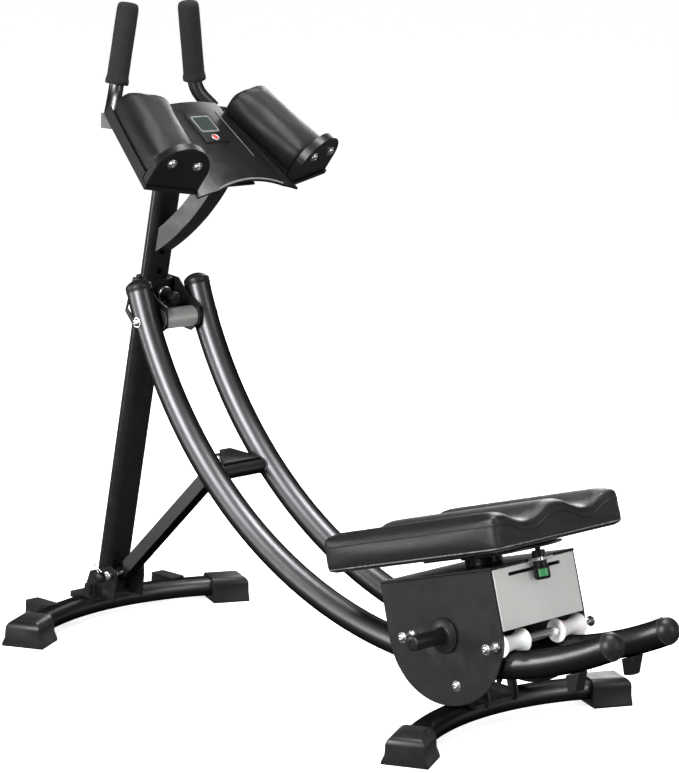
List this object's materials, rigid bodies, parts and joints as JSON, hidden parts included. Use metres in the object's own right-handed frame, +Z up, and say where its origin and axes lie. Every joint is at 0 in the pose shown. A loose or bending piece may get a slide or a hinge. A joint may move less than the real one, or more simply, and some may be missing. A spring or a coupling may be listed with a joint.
{
  "type": "ab crunch machine",
  "caption": "Folding kneeling ab machine: knee carriage rolls on curved twin rails below a height-adjustable elbow rest with hand grips.",
  "frame": {"origin": "on the floor, in the middle of the footprint box", "axes": "+X from the elbow end towards the seat end, +Y across the machine to the user's left side, +Z up"},
  "size_m": [1.4064, 0.638, 1.2374],
  "materials": {
    "frame_paint": "gloss metallic",
    "bracket_paint": "satin",
    "barrel_metal": "satin metallic",
    "cap_plastic": "matte, fine grain",
    "bright_steel": "polished",
    "black_plastic": "satin",
    "wheel_rubber": "matte",
    "foam_grip": "matte foam",
    "pad_skin": "soft moulded skin",
    "red_plastic": "gloss",
    "plate_paint": "satin powder coat",
    "peg_paint": "satin",
    "light_paint": "satin powder coat",
    "white_nylon": "smooth",
    "board_wood": "painted board",
    "seat_vinyl": "grained vinyl"
  },
  "bodies": {
    "track": {"rail_left": "frame_paint", "rail_right": "frame_paint", "rail_top_caps": "cap_plastic", "rail_end_caps": "cap_plastic", "rail_bumpers": "cap_plastic", "mid_cross_tube": "frame_paint", "strut_lugs": "bracket_paint", "strut_bolt": "bright_steel", "front_bracket": "bracket_paint", "front_foot_tube": "frame_paint", "front_foot_caps": "cap_plastic", "pivot_bolt": "bright_steel"},
    "column": {"column_tube": "frame_paint", "column_collar": "bracket_paint", "collar_bush": "cap_plastic", "hinge_bracket": "bracket_paint", "hinge_barrel": "barrel_metal", "barrel_rings": "cap_plastic", "rear_saddle": "bracket_paint", "rear_foot_tube": "frame_paint", "rear_foot_caps": "cap_plastic", "wheel_brackets": "bracket_paint", "wheel_axles": "bright_steel"},
    "wheel_left": {"transport_wheel_left": "wheel_rubber"},
    "wheel_right": {"transport_wheel_right": "wheel_rubber"},
    "pin": {"lock_pin": "bright_steel"},
    "strut": {"strut_tube": "frame_paint"},
    "clamp_knob": {"height_knob": "black_plastic"},
    "head": {"head_post": "frame_paint", "head_brace": "frame_paint", "head_bracket": "bracket_paint", "arm_tray": "black_plastic", "handle_left": "frame_paint", "handle_right": "frame_paint", "grip_left": "foam_grip", "grip_right": "foam_grip", "elbow_pad_left": "pad_skin", "elbow_pad_right": "pad_skin", "elbow_cap_left": "black_plastic", "elbow_cap_right": "black_plastic", "elbow_screws": "bright_steel", "counter_housing": "black_plastic"},
    "button": {"counter_button": "red_plastic"},
    "carriage": {"side_plate_left": "plate_paint", "side_plate_right": "plate_paint", "front_cross_plate": "light_paint", "carriage_deck": "bracket_paint", "axles": "bright_steel", "lower_studs": "bright_steel", "weight_pegs": "peg_paint"},
    "seat": {"swivel_plate": "bracket_paint", "seat_board": "board_wood", "seat_pad": "seat_vinyl"},
    "index_knob": {"seat_knob": "black_plastic"},
    "roller_front_left_body": {"roller_front_left": "white_nylon"},
    "roller_front_right_body": {"roller_front_right": "white_nylon"},
    "roller_rear_left_body": {"roller_rear_left": "white_nylon"},
    "roller_rear_right_body": {"roller_rear_right": "white_nylon"},
    "roller_lower_left_body": {"roller_lower_left": "white_nylon"},
    "roller_lower_right_body": {"roller_lower_right": "white_nylon"}
  },
  "joints": [
    {"name": "column_fold", "type": "hinge", "parent": "track", "child": "column", "pos_m": [-0.47303, 0, 0.62944], "axis": [0, -1, 0], "range_deg": [0, 24]},
    {"name": "strut_fold", "type": "hinge", "parent": "track", "child": "strut", "pos_m": [-0.3282, 0, 0.373], "axis": [0, -1, 0], "range_deg": [0, 44.5]},
    {"name": "lock_pin_pull", "type": "slide", "parent": "column", "child": "pin", "axis": [0, -1, 0], "range_m": [0, 0.1]},
    {"name": "wheel_left_spin", "type": "hinge", "parent": "column", "child": "wheel_left", "pos_m": [-0.6852, 0.17, 0.024], "axis": [0, 1, 0], "continuous": true},
    {"name": "wheel_right_spin", "type": "hinge", "parent": "column", "child": "wheel_right", "pos_m": [-0.6852, -0.17, 0.024], "axis": [0, 1, 0], "continuous": true},
    {"name": "height_slide", "type": "slide", "parent": "column", "child": "head", "axis": [0.1771, 0, 0.9842], "range_m": [-0.055, 0.05]},
    {"name": "clamp_knob_pull", "type": "slide", "parent": "column", "child": "clamp_knob", "axis": [0.9842, 0, -0.1771], "range_m": [0, 0.008], "stiffness_N_per_m": 1200, "springref_m": -0.004},
    {"name": "counter_press", "type": "slide", "parent": "head", "child": "button", "axis": [-0.6018, 0, -0.7986], "range_m": [0, 0.002], "stiffness_N_per_m": 500, "springref_m": -0.002},
    {"name": "carriage_roll", "type": "hinge", "parent": "track", "child": "carriage", "pos_m": [0.2918, 0, 0.962], "axis": [0, -1, 0], "range_deg": [-48, 6]},
    {"name": "seat_swivel", "type": "hinge", "parent": "carriage", "child": "seat", "pos_m": [0.33291, 0, 0.28456], "axis": [-0.2756, 0, 0.9613], "range_deg": [-25, 25]},
    {"name": "index_knob_pull", "type": "slide", "parent": "carriage", "child": "index_knob", "axis": [0.2756, 0, -0.9613], "range_m": [0, 0.008], "stiffness_N_per_m": 900, "springref_m": -0.005},
    {"name": "roller_front_left_spin", "type": "hinge", "parent": "carriage", "child": "roller_front_left_body", "pos_m": [0.46254, 0.077, 0.18545], "axis": [0, -1, 0], "range_deg": [-359, 2858]},
    {"name": "roller_front_right_spin", "type": "hinge", "parent": "carriage", "child": "roller_front_right_body", "pos_m": [0.46254, -0.077, 0.18545], "axis": [0, -1, 0], "range_deg": [-359, 2858]},
    {"name": "roller_rear_left_spin", "type": "hinge", "parent": "carriage", "child": "roller_rear_left_body", "pos_m": [0.2696, 0.077, 0.16721], "axis": [0, -1, 0], "range_deg": [-359, 2858]},
    {"name": "roller_rear_right_spin", "type": "hinge", "parent": "carriage", "child": "roller_rear_right_body", "pos_m": [0.2696, -0.077, 0.16721], "axis": [0, -1, 0], "range_deg": [-359, 2858]},
    {"name": "roller_lower_left_spin", "type": "hinge", "parent": "carriage", "child": "roller_lower_left_body", "pos_m": [0.37367, 0.077, 0.09586], "axis": [0, -1, 0], "range_deg": [-3856, 484]},
    {"name": "roller_lower_right_spin", "type": "hinge", "parent": "carriage", "child": "roller_lower_right_body", "pos_m": [0.37367, -0.077, 0.09586], "axis": [0, -1, 0], "range_deg": [-3856, 484]}
  ],
  "couplings": [
    {"joint": "strut_fold", "follows": "column_fold", "ratio": 1.83},
    {"joint": "roller_front_left_spin", "follows": "carriage_roll", "ratio": -59.485},
    {"joint": "roller_front_right_spin", "follows": "carriage_roll", "ratio": -59.485},
    {"joint": "roller_rear_left_spin", "follows": "carriage_roll", "ratio": -59.485},
    {"joint": "roller_rear_right_spin", "follows": "carriage_roll", "ratio": -59.485},
    {"joint": "roller_lower_left_spin", "follows": "carriage_roll", "ratio": 80.28},
    {"joint": "roller_lower_right_spin", "follows": "carriage_roll", "ratio": 80.28}
  ]
}
